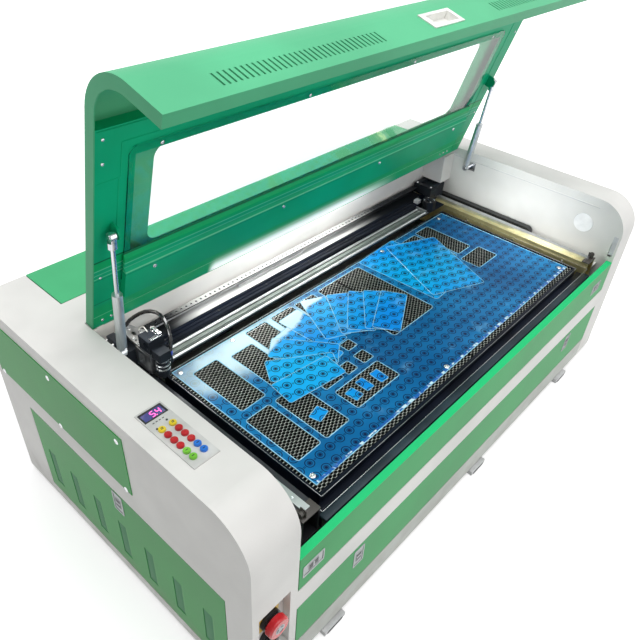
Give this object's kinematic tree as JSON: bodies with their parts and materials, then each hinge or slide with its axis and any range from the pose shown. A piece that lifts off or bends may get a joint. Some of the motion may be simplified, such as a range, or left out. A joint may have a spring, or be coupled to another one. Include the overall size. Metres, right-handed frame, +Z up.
{
  "type": "screen protector laser cutting machine",
  "caption": "Flat-bed laser cutter for film, with a long hinged lid on gas struts, honeycomb bed, gantry with head, end cabinets, drop-down doors and a keypad.",
  "frame": {"origin": "on the floor, under the centre of the machine's bounding box", "axes": "+X along the machine from the keypad end to the other end, +Y from the front to the back, +Z up"},
  "size_m": [1.403, 0.778, 0.9885],
  "materials": {
    "grey_paint": "fine textured powder coat",
    "rubber": "matt",
    "white_paint": "fine textured powder coat",
    "green_paint": "powder coat",
    "bright_steel": "brushed",
    "rail_alu": "anodised",
    "tray_alu": "anodised",
    "black_paint": "satin anodised black",
    "honeycomb_alu": "expanded foil cells",
    "film": "glossy protective film with small printed marks",
    "film_pieces": "glossy film",
    "tube_glass": "clear borosilicate",
    "clamp_blue": "moulded",
    "aluminium": "machined",
    "pad_plate": "printed overlay, left bare",
    "black_plastic": "matt",
    "lamp": "diffuser",
    "lid_green": "fine textured powder coat",
    "lining_green": "smooth paint",
    "acrylic": "clear acrylic",
    "white_plastic": "moulded",
    "red_plastic": "moulded",
    "yellow_plastic": "moulded",
    "green_plastic": "moulded",
    "blue_plastic": "moulded"
  },
  "bodies": {
    "cabinet": {"base_frame": "grey_paint", "feet": "rubber", "front_frame": "grey_paint", "left_cabinet": "white_paint", "right_cabinet": "white_paint", "rear_housing": "white_paint", "side_panels": "green_paint", "lid_fixings": "bright_steel", "y_rails": "rail_alu", "y_chain_tray": "tray_alu", "bed_frame": "black_paint", "honeycomb": "honeycomb_alu", "film_sheet": "film", "cut_protectors": "film_pieces", "laser_tube": "tube_glass", "tube_clamps": "clamp_blue", "laser_power_supply": "aluminium", "keypad_plate": "pad_plate", "estop_housing": "black_plastic", "y_drive": "bright_steel", "light_bar": "lamp"},
    "lid": {"lid_shell": "lid_green", "lid_lining": "lining_green", "lid_window": "acrylic", "lid_handle": "white_plastic"},
    "strut_tube_pair": {"strut_tubes": "aluminium"},
    "strut_rod_pair": {"strut_rods": "bright_steel"},
    "cover": {"rear_cover": "green_paint"},
    "flap": {"front_flap": "green_paint"},
    "door": {"lower_door": "green_paint"},
    "end_door": {"left_door": "green_paint"},
    "flap_paddle_left": {"flap_latch_left": "bright_steel"},
    "flap_paddle_right": {"flap_latch_right": "bright_steel"},
    "door_paddle_left": {"door_latch_left": "bright_steel"},
    "door_paddle_right": {"door_latch_right": "bright_steel"},
    "end_door_paddle": {"side_latch": "bright_steel"},
    "gantry": {"gantry_beam": "black_paint", "x_guide_rail": "bright_steel", "gantry_ends": "black_paint", "x_chain_tray": "tray_alu", "x_motor": "black_paint"},
    "head": {"head_carriage": "aluminium", "laser_head": "black_paint", "air_hose": "rubber"},
    "x_chain": {"x_cable_chain": "black_plastic"},
    "y_chain": {"y_cable_chain": "black_plastic"},
    "stop_head": {"estop_button": "red_plastic"},
    "key": {"key_switch": "black_plastic"},
    "button_yellow_left_key": {"button_yellow_left": "yellow_plastic"},
    "button_yellow_right_key": {"button_yellow_right": "yellow_plastic"},
    "button_red_1_key": {"button_red_1": "red_plastic"},
    "button_red_2_key": {"button_red_2": "red_plastic"},
    "button_red_3_key": {"button_red_3": "red_plastic"},
    "button_red_4_key": {"button_red_4": "red_plastic"},
    "button_red_5_key": {"button_red_5": "red_plastic"},
    "button_red_6_key": {"button_red_6": "red_plastic"},
    "button_green_1_key": {"button_green_1": "green_plastic"},
    "button_blue_1_key": {"button_blue_1": "blue_plastic"},
    "button_green_2_key": {"button_green_2": "green_plastic"},
    "button_blue_2_key": {"button_blue_2": "blue_plastic"}
  },
  "joints": [
    {"name": "lid_hinge", "type": "hinge", "parent": "cabinet", "child": "lid", "pos_m": [0, 0.16, 0.493], "axis": [1, 0, 0], "range_deg": [0, 73.4]},
    {"name": "strut_tube_pivot", "type": "hinge", "parent": "cabinet", "child": "strut_tube_pair", "pos_m": [0, 0.094, 0.458], "axis": [1, 0, 0], "range_deg": [-1, 82.5]},
    {"name": "strut_rod_slide", "type": "slide", "parent": "strut_tube_pair", "child": "strut_rod_pair", "axis": [0, -0.1156, 0.9933], "range_m": [-0.085, 0.001]},
    {"name": "rear_cover_hinge", "type": "hinge", "parent": "cabinet", "child": "cover", "pos_m": [0, 0.3732, 0.494], "axis": [-1, 0, 0], "range_deg": [0, 85]},
    {"name": "front_flap_hinge", "type": "hinge", "parent": "cabinet", "child": "flap", "pos_m": [0, -0.3732, 0.25659], "axis": [1, 0, 0], "range_deg": [0, 92]},
    {"name": "lower_door_hinge", "type": "hinge", "parent": "cabinet", "child": "door", "pos_m": [0, -0.3732, 0.08159], "axis": [1, 0, 0], "range_deg": [0, 92]},
    {"name": "left_door_hinge", "type": "hinge", "parent": "cabinet", "child": "end_door", "pos_m": [-0.6962, 0, 0.04659], "axis": [0, -1, 0], "range_deg": [0, 90]},
    {"name": "flap_latch_left_tilt", "type": "hinge", "parent": "flap", "child": "flap_paddle_left", "pos_m": [-0.565, -0.373, 0.296], "axis": [0, 0, 1], "range_deg": [0, 18], "stiffness_Nm_per_rad": 0.05},
    {"name": "flap_latch_right_tilt", "type": "hinge", "parent": "flap", "child": "flap_paddle_right", "pos_m": [0.544, -0.373, 0.296], "axis": [0, 0, -1], "range_deg": [0, 18], "stiffness_Nm_per_rad": 0.05},
    {"name": "door_latch_left_tilt", "type": "hinge", "parent": "door", "child": "door_paddle_left", "pos_m": [-0.432, -0.373, 0.162], "axis": [1, 0, 0], "range_deg": [0, 18], "stiffness_Nm_per_rad": 0.05},
    {"name": "door_latch_right_tilt", "type": "hinge", "parent": "door", "child": "door_paddle_right", "pos_m": [0.451, -0.373, 0.162], "axis": [1, 0, 0], "range_deg": [0, 18], "stiffness_Nm_per_rad": 0.05},
    {"name": "side_latch_tilt", "type": "hinge", "parent": "end_door", "child": "end_door_paddle", "pos_m": [-0.696, -0.027, 0.25], "axis": [0, -1, 0], "range_deg": [0, 18], "stiffness_Nm_per_rad": 0.05},
    {"name": "gantry_slide", "type": "slide", "parent": "cabinet", "child": "gantry", "axis": [0, -1, 0], "range_m": [0, 0.33]},
    {"name": "head_slide", "type": "slide", "parent": "gantry", "child": "head", "axis": [1, 0, 0], "range_m": [0, 0.925]},
    {"name": "x_chain_slide", "type": "slide", "parent": "gantry", "child": "x_chain", "axis": [1, 0, 0], "range_m": [0, 0.463]},
    {"name": "y_chain_slide", "type": "slide", "parent": "cabinet", "child": "y_chain", "axis": [0, -1, 0], "range_m": [0, 0.1655]},
    {"name": "button_yellow_left_press", "type": "slide", "parent": "cabinet", "child": "button_yellow_left_key", "axis": [0, 0, -1], "range_m": [0, 0.0015], "stiffness_N_per_m": 400, "springref_m": -0.002},
    {"name": "button_yellow_right_press", "type": "slide", "parent": "cabinet", "child": "button_yellow_right_key", "axis": [0, 0, -1], "range_m": [0, 0.0015], "stiffness_N_per_m": 400, "springref_m": -0.002},
    {"name": "button_red_1_press", "type": "slide", "parent": "cabinet", "child": "button_red_1_key", "axis": [0, 0, -1], "range_m": [0, 0.0015], "stiffness_N_per_m": 400, "springref_m": -0.002},
    {"name": "button_red_2_press", "type": "slide", "parent": "cabinet", "child": "button_red_2_key", "axis": [0, 0, -1], "range_m": [0, 0.0015], "stiffness_N_per_m": 400, "springref_m": -0.002},
    {"name": "button_red_3_press", "type": "slide", "parent": "cabinet", "child": "button_red_3_key", "axis": [0, 0, -1], "range_m": [0, 0.0015], "stiffness_N_per_m": 400, "springref_m": -0.002},
    {"name": "button_red_4_press", "type": "slide", "parent": "cabinet", "child": "button_red_4_key", "axis": [0, 0, -1], "range_m": [0, 0.0015], "stiffness_N_per_m": 400, "springref_m": -0.002},
    {"name": "button_red_5_press", "type": "slide", "parent": "cabinet", "child": "button_red_5_key", "axis": [0, 0, -1], "range_m": [0, 0.0015], "stiffness_N_per_m": 400, "springref_m": -0.002},
    {"name": "button_red_6_press", "type": "slide", "parent": "cabinet", "child": "button_red_6_key", "axis": [0, 0, -1], "range_m": [0, 0.0015], "stiffness_N_per_m": 400, "springref_m": -0.002},
    {"name": "button_green_1_press", "type": "slide", "parent": "cabinet", "child": "button_green_1_key", "axis": [0, 0, -1], "range_m": [0, 0.0015], "stiffness_N_per_m": 400, "springref_m": -0.002},
    {"name": "button_blue_1_press", "type": "slide", "parent": "cabinet", "child": "button_blue_1_key", "axis": [0, 0, -1], "range_m": [0, 0.0015], "stiffness_N_per_m": 400, "springref_m": -0.002},
    {"name": "button_green_2_press", "type": "slide", "parent": "cabinet", "child": "button_green_2_key", "axis": [0, 0, -1], "range_m": [0, 0.0015], "stiffness_N_per_m": 400, "springref_m": -0.002},
    {"name": "button_blue_2_press", "type": "slide", "parent": "cabinet", "child": "button_blue_2_key", "axis": [0, 0, -1], "range_m": [0, 0.0015], "stiffness_N_per_m": 400, "springref_m": -0.002},
    {"name": "stop_press", "type": "slide", "parent": "cabinet", "child": "stop_head", "axis": [0, 1, 0], "range_m": [0, 0.0022], "stiffness_N_per_m": 1500, "springref_m": -0.002},
    {"name": "key_turn", "type": "hinge", "parent": "cabinet", "child": "key", "pos_m": [-0.6515, -0.369, 0.173], "axis": [0, 1, 0], "range_deg": [0, 90]}
  ],
  "couplings": [
    {"joint": "strut_tube_pivot", "follows": "lid_hinge", "ratio": 1.1084},
    {"joint": "strut_rod_slide", "follows": "lid_hinge", "m_per_rad": -0.06588},
    {"joint": "x_chain_slide", "follows": "head_slide", "ratio": 0.5},
    {"joint": "y_chain_slide", "follows": "gantry_slide", "ratio": 0.5}
  ]
}
